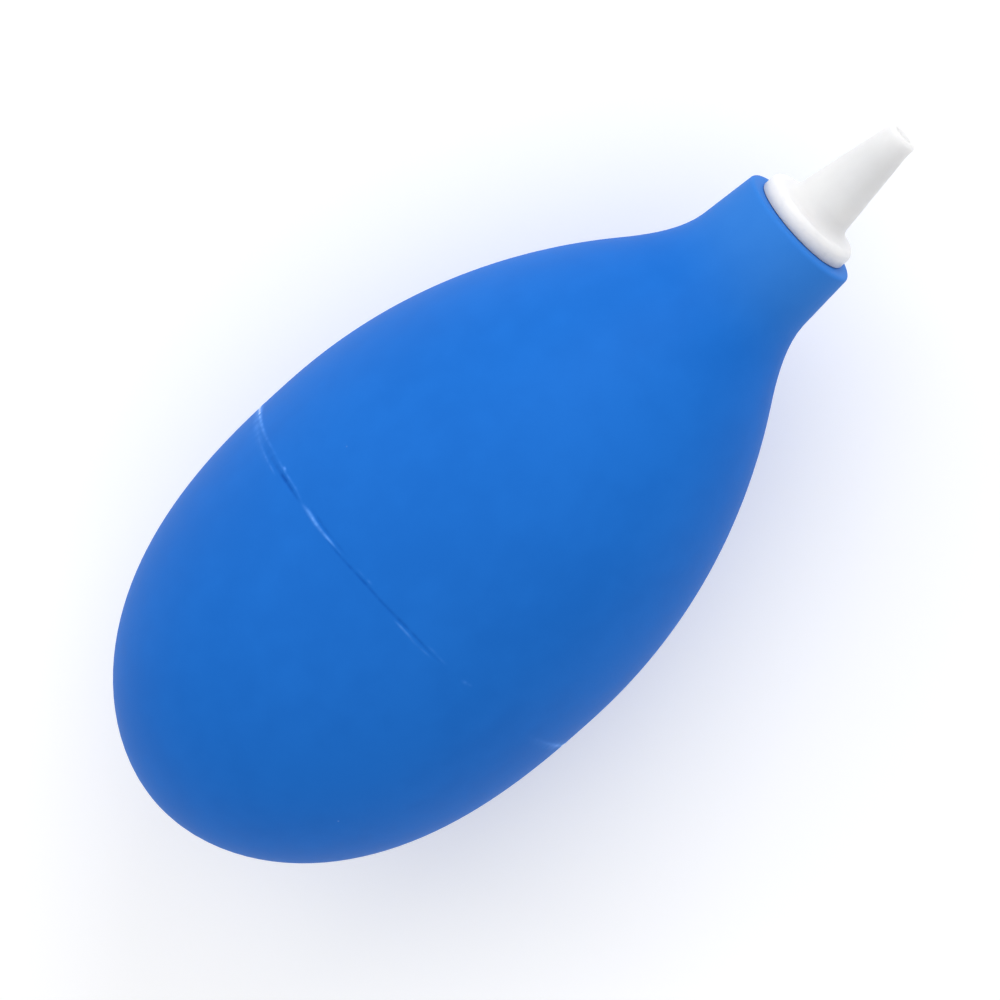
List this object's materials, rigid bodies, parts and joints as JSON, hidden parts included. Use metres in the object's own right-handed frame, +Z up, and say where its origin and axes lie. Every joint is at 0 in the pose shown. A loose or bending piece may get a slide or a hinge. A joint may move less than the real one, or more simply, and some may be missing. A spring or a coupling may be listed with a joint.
{
  "type": "dust blower bulb",
  "caption": "Hand dust blower: an egg-shaped hollow rubber bulb with a short neck and a tapered plastic nozzle pushed into it. Its sides press in and spring back to blow air.",
  "frame": {"origin": "under the middle of the whole length, at the level of the surface that the bulb lies on", "axes": "+X along the blower's axis towards the nozzle's tip, +Z up, the pressed sides at +Y and -Y"},
  "size_m": [0.09, 0.04, 0.04],
  "materials": {
    "blue_rubber": "satin blue moulded rubber with a faint parting line",
    "white_plastic": "satin white moulded plastic"
  },
  "bodies": {
    "bulb": {"bulb": "blue_rubber"},
    "left_wall": {"wall_left": "blue_rubber"},
    "right_wall": {"wall_right": "blue_rubber"},
    "nozzle": {"nozzle": "white_plastic"}
  },
  "joints": [
    {"name": "squeeze_left", "type": "slide", "parent": "bulb", "child": "left_wall", "axis": [0, -1, 0], "range_m": [0, 0.008], "stiffness_N_per_m": 600},
    {"name": "squeeze_right", "type": "slide", "parent": "bulb", "child": "right_wall", "axis": [0, 1, 0], "range_m": [0, 0.008], "stiffness_N_per_m": 600},
    {"name": "nozzle_pull", "type": "slide", "parent": "bulb", "child": "nozzle", "axis": [1, 0, 0], "range_m": [0, 0.012]}
  ],
  "couplings": [
    {"joint": "squeeze_right", "follows": "squeeze_left", "ratio": 1}
  ]
}
